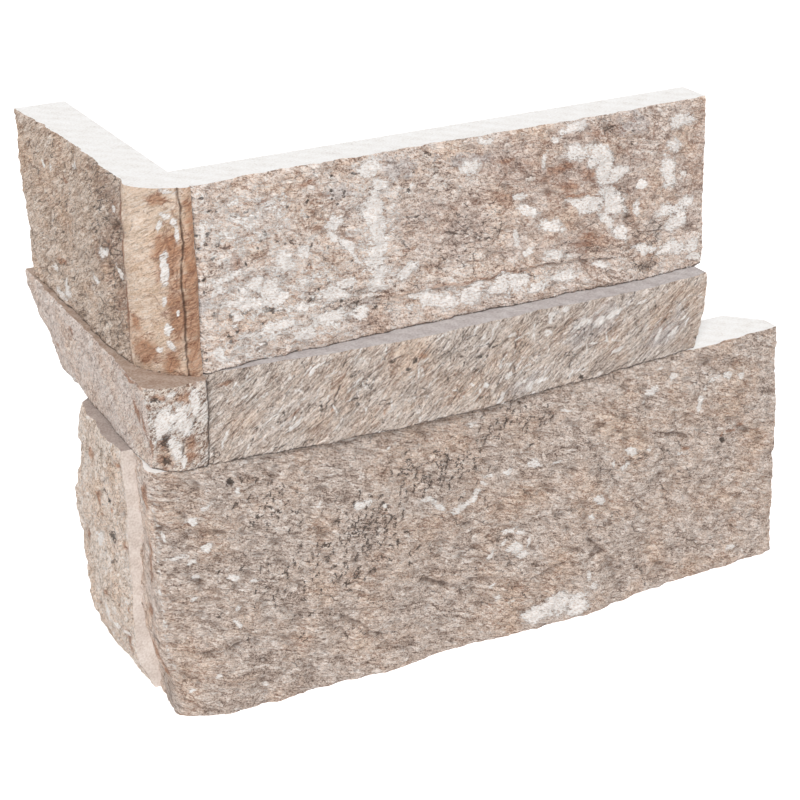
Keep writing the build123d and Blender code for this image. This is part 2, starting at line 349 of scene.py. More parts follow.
def split_quartzite(name, tones, other_tones, tilt, grain_length, grain_width, swirl_gain=0.85):
    """Quartzite as the splitter leaves it: stretched grains, fissures, rust and white bloom.

    The tones are ramps from its darkest to its lightest grains, on most of the face and in the
    part of it that is marked as other. The grains are drawn coarser than the real ones, of a few
    tenths of a millimetre, as the streaks that show in the picture.
    """
    material = bpy.data.materials.new(name)
    material.use_nodes = True
    tree = material.node_tree
    shader = tree.nodes["Principled BSDF"]
    place = add(tree, "TexCoord", {})["Object"]
    run, other, grey, white, rust, vein, dark, hollow = (
        add(tree, "Attribute", {}, attribute_name=key)["Fac"]
        for key in ("run", "other", "grey", "white", "rust", "vein", "dark", "hollow")
    )
    rise = add(tree, "SeparateXYZ", {0: place})["Z"]
    face = add(tree, "CombineXYZ", {"X": run, "Z": rise})[0]
    scale = (grain_length * mm, mm, grain_width * mm)
    turned = {"Vector": face, "Rotation": (0, radians(-tilt), 0), "Scale": scale}
    grain_place = add(tree, "Mapping", turned, vector_type="TEXTURE")[0]
    warp = add(tree, "TexNoise", {"Vector": grain_place, "Scale": 0.9, "Detail": 3})["Color"]
    warped = {0: warp, 1: (1.1, 1.1, 1.1), 2: grain_place}
    warped = add(tree, "VectorMath", warped, operation="MULTIPLY_ADD")[0]
    mosaic = add(tree, "TexVoronoi", {"Vector": warped, "Scale": 1.3})["Color"]
    grain, hue, _ = add(tree, "SeparateColor", {0: mosaic})
    grit = add(tree, "TexVoronoi", {"Vector": warped, "Scale": 3.4})["Color"]
    grit = add(tree, "SeparateColor", {0: grit})["Red"]
    swirl = {"Vector": grain_place, "Scale": 0.4, "Detail": 7, "Roughness": 0.72, "Distortion": 0.4}
    swirl = add(tree, "TexNoise", swirl)[0]
    fibre = {"Vector": grain_place, "Scale": 2.2, "Detail": 3, "Roughness": 0.65, "Distortion": 0.3}
    fibre = add(tree, "TexNoise", fibre)[0]
    glint_size = 0.45 * mm
    patch_size = 13 * mm
    glints = {"Vector": place, "Scale": 1 / glint_size, "Detail": 2, "Roughness": 0.6}
    glints = add(tree, "TexNoise", glints)[0]
    patch = add(tree, "TexNoise", {"Vector": place, "Scale": 1 / patch_size, "Detail": 4})[0]
    plates = {"Vector": grain_place, "Scale": 0.13, "Detail": 6, "Roughness": 0.5, "Distortion": 0.6}
    plates = add(tree, "TexNoise", plates)[0]
    layer_count = 22
    plates = add(tree, "Math", {0: plates, 1: layer_count}, operation="MULTIPLY")[0]
    layer = add(tree, "Math", {0: plates}, operation="FLOOR")[0]
    layer_tone = add(tree, "TexWhiteNoise", {"W": layer}, noise_dimensions="1D")["Value"]

    # Tone of the stone: each grain has its own, and it swells along the grain and in patches
    tone = 0.55
    gains = ((grain, 0.3), (grit, 0.42), (swirl, swirl_gain), (fibre, 0.6), (glints, 1.3))
    for value, gain in (*gains, (patch, 0.45), (layer_tone, 0.4)):
        centred = add(tree, "Math", {0: value, 1: 0.5}, operation="SUBTRACT")[0]
        tone = add(tree, "Math", {0: centred, 1: gain, 2: tone}, operation="MULTIPLY_ADD")[0]
    colour = add(tree, "ValToRGB", {"Fac": tone}, stops=tones)[0]
    ragged = 0.0
    for value, gain in ((swirl, 2.2), (fibre, 1.0), (glints, 0.5), (grain, 0.2)):
        centred = add(tree, "Math", {0: value, 1: 0.5}, operation="SUBTRACT")[0]
        ragged = add(tree, "Math", {0: centred, 1: gain, 2: ragged}, operation="MULTIPLY_ADD")[0]
    part = add(tree, "Math", {0: other, 1: ragged}, operation="ADD")[0]
    part = add(tree, "MapRange", {"Value": part, "From Min": 0.4, "From Max": 0.6})[0]
    other_colour = add(tree, "ValToRGB", {"Fac": tone}, stops=other_tones)[0]
    colour = add(tree, "Mix", {0: part, 6: colour, 7: other_colour}, data_type="RGBA")[2]
    ochre = add(tree, "Math", {0: hue, 1: 0.12, 2: patch}, operation="MULTIPLY_ADD")[0]
    ochre = {"Value": ochre, "From Min": 0.5, "From Max": 0.78, "To Max": 0.5}
    ochre = add(tree, "MapRange", ochre)[0]
    tinted = {0: ochre, 6: colour, 7: srgb("#F4D9BC")}
    colour = add(tree, "Mix", tinted, data_type="RGBA", blend_type="MULTIPLY")[2]

    grey = add(tree, "Math", {0: grey, 1: ragged}, operation="ADD")[0]
    grey = {"Value": grey, "From Min": 0.3, "From Max": 0.7, "To Max": 0.7}
    grey = add(tree, "MapRange", grey)[0]
    grey_tones = ((0.1, "#8B817E"), (0.5, "#C6BCB9"), (0.9, "#E6E0DE"))
    grey_colour = add(tree, "ValToRGB", {"Fac": tone}, stops=grey_tones)[0]
    colour = add(tree, "Mix", {0: grey, 6: colour, 7: grey_colour}, data_type="RGBA")[2]

    # The layers of the stone crop out one below the other, with a thin broken line at each edge
    # The dark line at each edge is painted shade, for the small shadow that the step casts.
    rim = add(tree, "Math", {0: plates}, operation="FRACT")[0]
    rim = add(tree, "MapRange", {"Value": rim, "From Max": 0.2, "To Min": 1, "To Max": 0})[0]
    broken = {"Value": fibre, "From Min": 0.42, "From Max": 0.56, "To Max": 0.7}
    broken = add(tree, "MapRange", broken)[0]
    rim = add(tree, "Math", {0: rim, 1: broken}, operation="MULTIPLY")[0]
    colour = add(tree, "Mix", {0: rim, 6: colour, 7: srgb("#6A574C")}, data_type="RGBA")[2]

    # Rusty veins, a net of thin broken lines that shows in some parts
    veins = {"Vector": warped, "Scale": 0.3, "Detail": 4, "Roughness": 0.65}
    veins = add(tree, "TexNoise", veins)[0]
    veins = add(tree, "Math", {0: veins, 1: 0.5}, operation="SUBTRACT")[0]
    veins = add(tree, "Math", {0: veins}, operation="ABSOLUTE")[0]
    veins = {"Value": veins, "From Min": 0.004, "From Max": 0.022, "To Min": 0.8, "To Max": 0}
    veins = add(tree, "MapRange", veins)[0]
    veined = add(tree, "Math", {0: rust, 1: 0.5, 2: patch}, operation="MULTIPLY_ADD")[0]
    veined = add(tree, "MapRange", {"Value": veined, "From Min": 0.46, "From Max": 0.6})[0]
    veins = add(tree, "Math", {0: veins, 1: veined}, operation="MULTIPLY")[0]
    vein = add(tree, "Math", {0: glints, 1: 1.2, 2: vein}, operation="MULTIPLY_ADD")[0]
    vein = {"Value": vein, "From Min": 0.95, "From Max": 1.3, "To Max": 0.6}
    vein = add(tree, "MapRange", vein)[0]
    veins = add(tree, "Math", {0: veins, 1: vein}, operation="MAXIMUM")[0]
    colour = add(tree, "Mix", {0: veins, 6: colour, 7: srgb("#8F6853")}, data_type="RGBA")[2]

    # Fissures between the scales of the stone: thin dark lines, open in some parts and shut in others
    scales = {"Vector": warped, "Scale": 0.5}
    scales = add(tree, "TexVoronoi", scales, feature="DISTANCE_TO_EDGE")["Distance"]
    # The dark attribute holds the dark marks of the stone, and also painted shade at the lower edges and
    # joints.
    open_part = add(tree, "Math", {0: dark, 1: 0.3, 2: fibre}, operation="MULTIPLY_ADD")[0]
    open_part = {"Value": open_part, "From Min": 0.45, "From Max": 0.56}
    open_part = add(tree, "MapRange", open_part)[0]
    fissure = {"Value": scales, "From Min": 0.01, "From Max": 0.08, "To Min": 1, "To Max": 0}
    fissure = add(tree, "MapRange", fissure)[0]
    fissure = add(tree, "Math", {0: fissure, 1: open_part}, operation="MULTIPLY")[0]
    blackness = {"Value": dark, "From Max": 0.4, "To Min": 0.5, "To Max": 0.9}
    blackness = add(tree, "MapRange", blackness)[0]
    line = add(tree, "Math", {0: fissure, 1: blackness}, operation="MULTIPLY")[0]
    colour = add(tree, "Mix", {0: line, 6: colour, 7: srgb("#43362E")}, data_type="RGBA")[2]

    # Painted shade in the hollows, and in the cracks a dark brown, partly their own and partly painted shade
    shade = {"Value": hollow, "From Min": 0.1, "From Max": 1.5, "To Max": 0.8}
    shade = add(tree, "MapRange", shade)[0]
    colour = add(tree, "Mix", {0: shade, 6: colour, 7: srgb("#4E3627")}, data_type="RGBA")[2]

    # Rust stains, black specks of ore, and white mineral bloom, each with a ragged edge
    stain = add(tree, "Math", {0: rust, 1: ragged}, operation="ADD")[0]
    stain = {"Value": stain, "From Min": 0.25, "From Max": 0.85, "To Max": 0.95}
    stain = add(tree, "MapRange", stain)[0]
    rusty = ((0.33, "#A4836F"), (0.5, "#D3B29C"), (0.7, "#E8D2C3"))
    rusty = add(tree, "ValToRGB", {"Fac": fibre}, stops=rusty)[0]
    stained = {0: stain, 6: colour, 7: rusty}
    colour = add(tree, "Mix", stained, data_type="RGBA", blend_type="MULTIPLY")[2]
    # Where the dark attribute holds painted shade, these specks draw it too.
    ore = add(tree, "Math", {0: dark, 1: 0.36, 2: glints}, operation="MULTIPLY_ADD")[0]
    ore = {"Value": ore, "From Min": 0.7, "From Max": 0.76, "To Max": 0.9}
    ore = add(tree, "MapRange", ore)[0]
    colour = add(tree, "Mix", {0: ore, 6: colour, 7: srgb("#463A32")}, data_type="RGBA")[2]
    near_white = add(tree, "MapRange", {"Value": white, "From Max": 0.25, "To Max": 1.0})[0]
    chalk_edge = {0: ragged, 1: near_white, 2: white}
    chalk_edge = add(tree, "Math", chalk_edge, operation="MULTIPLY_ADD")[0]
    chalky = ((0.36, "#D3C3B8"), (0.46, "#F1E7E0"), (0.56, "#FDF9F6"))
    chalky = add(tree, "ValToRGB", {"Fac": fibre}, stops=chalky)[0]
    veil = {"Value": chalk_edge, "From Min": 0.1, "From Max": 0.5, "To Max": 0.4}
    veil = add(tree, "MapRange", veil)[0]
    colour = add(tree, "Mix", {0: veil, 6: colour, 7: chalky}, data_type="RGBA")[2]
    bloom = {"Value": chalk_edge, "From Min": 0.44, "From Max": 0.5, "To Max": 0.95}
    bloom = add(tree, "MapRange", bloom)[0]
    colour = add(tree, "Mix", {0: bloom, 6: colour, 7: chalky}, data_type="RGBA")[2]
    tree.links.new(colour, shader.inputs["Base Color"])

    domed = add(tree, "MapRange", {"Value": scales, "From Max": 0.25})[0]
    height = 0.0
    gains = ((swirl, 0.9), (fibre, 0.3), (grit, 0.15), (glints, 0.3), (domed, 0.1), (bloom, 0.12))
    for value, gain in (*gains, (layer, 0.3)):
        height = add(tree, "Math", {0: value, 1: gain, 2: height}, operation="MULTIPLY_ADD")[0]
    bump = add(tree, "Bump", {"Height": height, "Distance": 1.0 * mm})[0]
    tree.links.new(bump, shader.inputs["Normal"])
    shader.inputs["Roughness"].default_value = 0.82
    shader.inputs["IOR"].default_value = 1.54
    return material


def sawn_quartzite(name, dark, middle, light):
    """Quartzite cut by a diamond saw: pale with stone dust, with faint lines from the blade."""
    material = bpy.data.materials.new(name)
    material.use_nodes = True
    tree = material.node_tree
    shader = tree.nodes["Principled BSDF"]
    place = add(tree, "TexCoord", {})["Object"]
    dust_size = 5 * mm
    pore_size = 0.6 * mm
    dust = {"Vector": place, "Scale": 1 / dust_size, "Detail": 5, "Roughness": 0.65}
    dust = add(tree, "TexNoise", dust)[0]
    pores = add(tree, "TexNoise", {"Vector": place, "Scale": 1 / pore_size, "Detail": 3})[0]
    blade_pitch = 1.7 * mm
    lines = add(
        tree,
        "TexWave",
        {"Vector": place, "Scale": 1 / blade_pitch / tau, "Distortion": 2, "Detail": 2},
        bands_direction="DIAGONAL",
    )["Fac"]
    tone = -0.2
    for value, gain in ((dust, 0.6), (pores, 0.8), (lines, 0.08)):
        tone = add(tree, "Math", {0: value, 1: gain, 2: tone}, operation="MULTIPLY_ADD")[0]
    tones = ((0.2, dark), (0.45, middle), (0.7, light))
    colour = add(tree, "ValToRGB", {"Fac": tone}, stops=tones)[0]
    tree.links.new(colour, shader.inputs["Base Color"])
    height = add(tree, "Math", {0: lines, 1: 0.25, 2: pores}, operation="MULTIPLY_ADD")[0]
    bump = add(tree, "Bump", {"Height": height, "Distance": 0.12 * mm})[0]
    tree.links.new(bump, shader.inputs["Normal"])
    shader.inputs["Roughness"].default_value = 0.9
    shader.inputs["IOR"].default_value = 1.54
    return material


def joint(away):
    """How far a face falls back in mm at a joint, from its distance to the next stone."""
    joint_width = 1.1
    return np.clip(1 - away / joint_width, 0, 1)


def lay(name, surface, relief, marks, back, materials):
    """Makes a stone from its face and its marks, and puts it in the place of its CAD solid.

    The materials are those of its split face, its sawn back and its sawn beds.
    """
    x, y, rise, out_x, out_y = surface
    run = x - y
    relief = relief - worn_edges(rise, rough(run, rise, 5, 41, 2))
    crack = marks.pop("crack", 0)
    crack_depth = 0.6
    relief = relief - crack_depth * crack
    # Painted shade: the hollows of the relief, and the cracks, are darkened in the shader through the hollow
    # attribute.
    pits = evened(relief, 4) - relief
    hollow = 2.2 * np.clip(pits, 0, None) + 1.4 * crack
    # Painted shade: a dark band along the lower edge of a stone that stands on another, where the joint is
    # in shadow.
    painted_under_shade = np.clip(1.2 - (rise - rise[0, 0]) / 0.6, 0, 1) if rise[0, 0] > 1 else 0
    fields = dict.fromkeys(("other", "grey", "white", "rust", "vein", "dark"), np.zeros_like(run))
    fields |= marks | {"run": unrolled(x, y) * mm, "hollow": hollow, "dark": marks["dark"] + painted_under_shade}
    stone = sleeve(name, x + out_x * relief, y + out_y * relief, rise, back, fields)
    for material in materials:
        stone.data.materials.append(material)
    node = f"{name}_stone"
    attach(stone, "root")
    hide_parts(node)


bottom_step = 0.42
bottom_reach = (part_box("bottom_long_stone")[1].x - corner.x) / mm
back_corner_chip = 9
nose_pivot = (6, 0)
lines = around(nose_pivot, 180, 270, 1)[:-1]
lines += straight((6, -back_corner_chip), (bottom_reach, -back_corner_chip), (0, -1), bottom_step)
surface = skin("bottom_long_stone", lines, bottom_step, 4)
run = surface[0] - surface[1]
rise = surface[2]
relief = cleaved(run, rise, -16, 11, ridge=0.7, flake=0.9, hackle=0.45, fibre=0.35)
ledge_paths = (
    ((56, 24), (65, 18), (70, 14), (76, 11)),
    ((83, 27), (90, 22), (97, 20), (108, 15), (118, 12)),
    ((98, 21), (110, 19), (121, 16), (137, 21)),
    ((140, 27), (146, 21), (152, 15), (162, 9)),
    ((142, 62), (150, 57), (158, 54), (166, 52), (178, 47)),
    ((178, 53), (186, 51), (196, 49)),
    ((12, 21), (22, 20), (34, 22), (48, 18)),
)
relief -= ledges(run, rise, ledge_paths, drop=0.8)
relief -= worn_end(run, rise, 0.7, 0.9, 95)
wander = 0.45 * rough(run, rise, 5, 51)
white_places = (
    (18, 63, 2, 0.8), (27, 66, 1.8, 0.9, 60), (13, 59.5, 3, 0.8, 10), (17, 52, 2.5, 1.2, 20),
    (8, 49.5, 3, 1), (3, 56, 2, 1, -60), (12, 47.5, 1.5, 0.8), (14, 43, 1.5, 1), (25, 41, 1.6, 0.8, 20),
    (33, 39, 2.2, 0.6), (28, 31.5, 0.9, 0.9), (13, 36.5, 1.6, 0.5), (27, 27, 2, 0.8, -40),
    (21, 12.5, 1.6, 0.7, 15), (10.5, 8.5, 1.6, 0.6, 30), (52, 56.5, 1, 0.7, 45), (65, 53.5, 2.6, 1.2, 10),
    (72, 51.5, 1, 0.8), (72.5, 67.5, 1.1, 0.7), (86, 48.7, 2.5, 1, -10), (89, 46, 2.6, 0.7, -35),
    (96, 43.5, 3.4, 1.3), (100.5, 45.5, 2.4, 1.3, 60), (103, 49.5, 1.8, 0.8, -50), (105, 51.8, 2, 0.8),
    (112, 52, 1.8, 1), (121, 52.5, 2.5, 1.2), (129, 51.5, 2.3, 0.6), (99, 68.5, 1.4, 0.4),
    (131, 67, 1.7, 0.7, -45), (113, 32.5, 2.2, 0.8), (117, 31.3, 2.2, 0.6, -10), (111, 29.5, 1.6, 1),
    (115, 26.5, 2.6, 1.6), (118, 24.3, 2.6, 1.6), (120, 28, 2, 0.9, 80), (106.5, 26.5, 2, 0.9, 80),
    (110, 13, 1.4, 1.2), (108, 16.5, 1, 1), (115, 10.5, 1.6, 0.5), (123, 4.5, 4.4, 2.6, 5),
    (131, 5.5, 6.5, 3.6, -5), (139.5, 4, 5, 3.6, -8), (142.5, 12, 1.8, 1, 100), (145, 9, 1.4, 1.2),
    (160, 65, 1.9, 1.3), (158, 63, 0.9, 0.8), (168.5, 68.5, 1.3, 0.8), (162.5, 71.5, 1.3, 0.8),
    (183, 63.5, 2.2, 0.8, 25), (187.5, 64.2, 1.9, 0.9), (180, 61.5, 1, 0.7, 90), (193.5, 62.5, 0.9, 0.8),
    (156, 48.2, 2.6, 1.3, -15), (161, 47, 1.6, 0.6, -30), (153, 44.5, 2.3, 0.8),
    (149, 46.5, 1.3, 0.7, 80), (145, 36.5, 2, 1.8, -30), (142, 31, 1.4, 1.1), (173, 42.5, 1.6, 0.6),
    (178.5, 57, 3, 0.9, 85), (195, 6.5, 2.2, 0.8), (35, 6.5, 1.1, 0.7),
)
white = spots(run, rise, white_places, wander)
rust_places = (
    (-2.5, 68, 1.6, 4.5), (-1, 17, 3, 3), (1, 13, 2, 2), (-3, 48, 1.2, 9), (191, 45.2, 2, 0.7, 10),
    (194.5, 46, 2, 0.8, -25), (187.6, 44.6, 0.9, 0.6), (175, 43.5, 1.8, 0.7), (-6, 31, 2, 3),
    (-5, 20, 3, 5, 60),
)
rust = spots(run, rise, rust_places, 0.5 * wander)
dendrites = hairlines(1, 80, (67, 46), (12, 10), 75, 1.7) + hairlines(2, 90, (88, 57), (18, 8), 70, 1.7)
dendrites += hairlines(3, 50, (66, 35), (18, 8), 80, 1.6) + hairlines(4, 50, (110, 66), (16, 8), 75, 1.5)
dendrites += hairlines(5, 30, (36, 60), (10, 8), 80, 1.5) + hairlines(6, 60, (46, 38), (20, 20), 80, 1.6)
striations = hairlines(7, 44, (110, 24), (70, 20), -20, 8) + hairlines(8, 30, (160, 50), (36, 20), -35, 7)
dark = np.maximum(tracks(run, rise, dendrites, 0.5), 0.55 * tracks(run, rise, striations, 0.6))
dark = np.maximum(dark, 2 * spots(run, rise, ((24.7, 68.6, 1.3, 0.9, -50), (188.3, 42.8, 1.4, 0.8, -45)), 0))
rim = tracks(run, rise, (((1, 66), (1.4, 50), (2.4, 36), (3.5, 24), (5.5, 13)),), 1.8)
white = np.maximum(white, 0.4 * rim)
crack_paths = (
    ((24, 69), (24.7, 68.6), (25.3, 67.8)),
    ((187.5, 43.5), (188.6, 42)),
)
crack = tracks(run, rise, crack_paths, 0.7)
taupe_corner = spots(run, rise, ((0, 4, 7, 9, 0),), 0)
crack = np.maximum(crack, 0.35 * taupe_corner)
lighter = np.clip(0.6 - run / 3, 0, 1) - taupe_corner + 0.33 * np.clip((run - 125) / 30, 0, 1)
# Split taupe stone: a dull warm brown, paler and pinker at the corner and towards the far end
taupe = ((0.05, "#69574D"), (0.3, "#B29E91"), (0.5, "#D2BFB2"), (0.7, "#E4D5CB"), (0.95, "#F8F0EA"))
pink_end = ((0.05, "#8A766A"), (0.3, "#CCB6A8"), (0.5, "#E4D0C3"), (0.7, "#F0E2D9"), (0.95, "#F8F1EC"))
taupe_quartzite = split_quartzite("split taupe quartzite", taupe, pink_end, -16, 2.0, 0.75)
# Clean sawn stone: nearly white with stone dust, flat and matt
sawn_pale = sawn_quartzite("diamond sawn quartzite", "#D6CFC9", "#F3F0ED", "#FCFBFA")
lay(
    "bottom_long",
    surface,
    relief,
    {"other": lighter, "white": white, "rust": rust, "dark": dark, "crack": crack},
    [(bottom_reach, -back_corner_chip), (bottom_reach - back_corner_chip, 0)],
    (taupe_quartzite, sawn_pale, sawn_pale),
)


# Bottom course, short stone: cream quartzite with rust spots, glued with its sawn joint against
# the back of the long stone. Its far end is broken off rough, and its outer lower edge is
# chipped away.
short_step = 0.35
far_pivot = (0, 28)
lines = around(far_pivot, 90, 180, 0.8)[:-1]
lines += straight(far_pivot, (0, 0), (-1, 0), short_step)
surface = skin("bottom_short_stone", lines, short_step, 4)
run = surface[0] - surface[1]
rise = surface[2]
relief = cleaved(unrolled(*surface[:2]), rise, 40, 12, ridge=0.5, flake=0.8, hackle=0.5, fibre=0.3)
relief *= 0.3 + 0.7 * np.clip(surface[1] / 4, 0, 1)
wander = 0.45 * rough(run, rise, 5, 52)
white_places = ((-35.5, 16, 1.5, 2), (-32, 14, 3, 0.8), (-24, 15, 3, 0.8, 15), (-38, 39, 3, 2))
white = spots(run, rise, white_places, wander)
rust_places = (
    (-36, 53, 2, 2), (-36, 23, 3, 1.5, 25), (-27, 53, 1.5, 1.5), (-19, 25, 1, 1), (-50, 35, 3, 3),
    (-42, 64, 3, 1.5), (-22, 68, 2, 1), (-20, 45, 1.5, 2), (-22, 14, 5, 3, -30),
)
rust = 0.9 * spots(run, rise, rust_places, wander)
dark_places = ((-29.5, 55, 1, 1), (-28, 44.5, 2.5, 1.6), (-28, 37, 2.5, 0.8, 20), (-32, 57, 2.5, 1))
dark = spots(run, rise, dark_places, wander)
# Sawn joint: chalky and off-white, a plain pale band beside the corner
sawn_joint = sawn_quartzite("chalky sawn quartzite", "#B5A79D", "#D5C8BF", "#E9E0D9")
# Sawn bed: a dull brown, painted shade for the shadow of the course above
sawn_painted_shade = sawn_quartzite("sawn quartzite in painted shade", "#837269", "#A0918A", "#BCAFA8")
# Split cream stone: the palest of the split faces, with short blunt grains
cream = ((0.05, "#8A7563"), (0.3, "#D6C1AF"), (0.5, "#EFDDCF"), (0.7, "#F5E9E0"), (0.95, "#FCF7F3"))
cream_quartzite = split_quartzite("split cream quartzite", cream, cream, 40, 1.5, 1.1)
lay(
    "bottom_short",
    surface,
    relief,
    {"white": white, "rust": rust, "dark": dark},
    [(0, 0)],
    (cream_quartzite, sawn_joint, sawn_painted_shade),
)


# Middle course, long stone: the thickest, a fibrous grey quartzite whose grain runs up to the
# right. It is glued on the bottom course, and stands proud of the stones below and above it.
middle_step = 0.25
middle_reach = (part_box("middle_long_stone")[1].x - corner.x) / mm
lines = straight((0, 0), (middle_reach, 0), (0, -1), middle_step)
surface = skin("middle_long_stone", lines, middle_step, 8)
run = surface[0] - surface[1]
rise = surface[2]
relief = cleaved(run, rise, 38, 13, ridge=0.3, flake=0.6, hackle=0.3, fibre=0.5)
wander = 0.4 * rough(run, rise, 4, 53)
white_places = (
    (126.5, 98, 2.2, 1.4, 60), (131, 99, 1.6, 0.8), (104, 96.5, 1.4, 1.1, 40),
    (112.5, 94.5, 1.6, 0.7, 10), (125, 92, 1.6, 0.9, -20), (112, 82.5, 1.3, 1.1), (105.5, 82.5, 0.9, 0.8),
    (136, 93, 3.2, 1.1, 25), (147, 94.5, 4, 1.2, 30), (142, 93, 2.6, 1.2, 30), (156, 96, 1.6, 0.6, 10),
    (119.5, 78, 1.7, 1.6), (123, 78.5, 2.2, 1, 20), (110, 77, 1.5, 1, 60), (117, 80, 2.2, 0.9, 20),
    (163, 84, 2.6, 0.6, 50), (167.5, 84, 2.2, 0.6, 50), (148, 82.5, 2.2, 1), (171, 88, 2.2, 0.5, 45),
    (52, 97, 3, 0.5, 38), (38, 85, 3, 0.5, 38), (45, 82, 4, 0.5, 38), (24, 81, 2.5, 0.5, 60),
    (30, 92, 2.5, 0.5, 38),
)
white = spots(run, rise, white_places, wander)
rust_places = (
    (24, 96.5, 3.5, 0.8, 8), (58, 86, 1.8, 0.7, 85), (73.5, 81, 1.4, 0.6, 85), (85, 95, 2.2, 1),
    (46, 86, 4, 0.6, 38),
)
rust = 0.8 * spots(run, rise, rust_places, wander)
dark_places = (
    (80.5, 92, 0.8, 0.8), (82, 94, 1.2, 0.8), (76, 94.8, 1.4, 0.6), (73, 78.5, 0.6, 0.7),
    (65, 85, 1, 0.6), (113.5, 84.7, 0.6, 0.6), (136.5, 77.5, 0.9, 0.9), (137, 80, 0.6, 0.5),
    (151.5, 93.8, 0.7, 0.6), (165, 88.5, 1, 0.7), (175, 79, 0.7, 0.6), (135.5, 91.5, 0.8, 0.6),
    (103, 91, 1.6, 0.8), (22, 77.5, 0.5, 0.8),
)
dark = spots(run, rise, dark_places, 0)
streaks = tracks(run, rise, hairlines(31, 200, (95, 88), (110, 15), 38, 5), 0.42)
dark = np.maximum(dark, 0.75 * streaks)
white = np.maximum(white, 0.6 * tracks(run, rise, hairlines(32, 150, (95, 88), (110, 15), 38, 5), 0.5))
grey = 0.8 * spots(run, rise, ((140, 92, 14, 6, 20), (118, 79, 8, 3, 20), (165, 84, 10, 5, 30)), wander)
# Split fibrous stone: grey-brown, with long thin streaks that run up to the right
fibrous = ((0.05, "#6A5C53"), (0.3, "#B2A094"), (0.5, "#D3C3B7"), (0.7, "#E7DAD1"), (0.95, "#FAF3EE"))
# Sawn bed: cooler and greyer than the split faces, a plain ledge under the top course
# Its grey is partly a film of dirt and glue, and partly painted shade from the course above.
sawn_grey = sawn_quartzite("grey sawn quartzite", "#958D8C", "#B7AFAE", "#CFCAC9")
fibrous_quartzite = split_quartzite("split fibrous quartzite", fibrous, fibrous, 38, 2.8, 0.6, 1.0)
lay(
    "middle_long",
    surface,
    relief,
    {"grey": grey, "white": white, "rust": rust, "dark": dark},
    [(middle_reach, 0), (0, 0)],
    (fibrous_quartzite, sawn_pale, sawn_grey),
)


# Middle course, short stone: pinkish grey quartzite, glued on the bottom course. It runs through
# to the front, with a square split end under white bloom, and the lower corner of its far end is
# broken off.
middle_short_step = 0.3
middle_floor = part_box("middle_short_stone")[0].z / mm
middle_short_reach = (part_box("middle_short_stone")[1].y - corner.y) / mm
turn = 2
far_chip_height = 18
far_chip_length = 20


def chipped_start(along, height):
    """Where a sight line starts along the short leg, drawn in where the corner is broken off."""
    kept = min(1, (height - middle_floor) / far_chip_height)
    lost = far_chip_length * (1 - kept)
    return along - lost * (along - turn) / (middle_short_reach - turn)


lines = straight((0, middle_short_reach), (0, turn), (-1, 0), middle_short_step)
lines += around((0, turn), 180, 270, 0.9)[1:]
surface = skin("middle_short_stone", lines, middle_short_step, 3, chipped_start)
run = surface[0] - surface[1]
rise = surface[2]
relief = cleaved(run, rise, 35, 14, ridge=0.25, flake=0.5, hackle=0.3, fibre=0.3)
wander = 0.4 * rough(run, rise, 4, 54)
white_places = (
    (8, 91, 4.5, 4.5), (13, 90, 3.4, 5), (4, 88, 1.5, 4), (10, 98, 2, 1.2), (10, 82, 2, 5),
    (-60, 77, 3, 0.8, 15), (12, 78, 1.2, 3), (17, 95, 1.4, 4),
)
white = spots(run, rise, white_places, wander)
rust_places = (
    (14, 96.5, 3, 2), (2.2, 94, 2, 1.4), (6, 97.5, 2.2, 1.2), (15, 84, 2, 3), (-7, 91, 5, 1.4, -60),
    (-2.5, 87, 4, 1.2, -70), (-54, 95, 3, 1.2, -50), (-71, 83, 3, 1), (-9, 99.3, 9, 0.8), (1, 82, 1, 5),
    (6, 84, 2.6, 4), (6, 78, 4, 3), (15, 79, 3, 2),
)
rust = spots(run, rise, rust_places, wander)
dark = spots(run, rise, ((7, 84, 2, 3, 0), (6, 78, 2, 1.6, 0), (5, 96.5, 1.5, 1, 0)), wander)
joined = joint(-surface[0])
# Painted shade: a dark band along the joint with the long stone, where the gap is in shadow.
dark = np.maximum(dark, joined)
relief -= joined
crack = tracks(run, rise, (((16.8, 90), (15, 86.5), (12.8, 84), (12, 79)),), 0.5)
inside = np.clip(0.5 + (run - 0.5) / 2, 0, 1)
vein = tracks(run, rise, hairlines(51, 22, (8, 88), (11, 16), 80, 4), 0.5)
far_ends = surface[1][:, 0]
# Split pinkish stone: pale rosy grey on its side, with a patchy brown and white crust on its end
pinkish = ((0.05, "#8D7B72"), (0.3, "#D1BCB0"), (0.5, "#E8D6CC"), (0.7, "#F1E4DC"), (0.95, "#F9F3EE"))
patina = ((0.15, "#6B5548"), (0.35, "#AB9485"), (0.5, "#DCD0C7"), (0.65, "#EEE7E1"), (0.9, "#F8F4F1"))
# Sawn bed: stained a rusty brown, and darker still as painted shade from the course above
sawn_stain_and_shade = sawn_quartzite("stained sawn quartzite in painted shade", "#8A7263", "#A48C7C", "#BFADA0")
pinkish_quartzite = split_quartzite("split pinkish quartzite", pinkish, patina, 35, 2.2, 0.8, 0.9)
lay(
    "middle_short",
    surface,
    relief,
    {"other": inside, "white": white, "rust": rust, "vein": vein, "dark": dark, "crack": crack},
    [(np.zeros_like(far_ends), far_ends)],
    (pinkish_quartzite, sawn_pale, sawn_stain_and_shade),
)


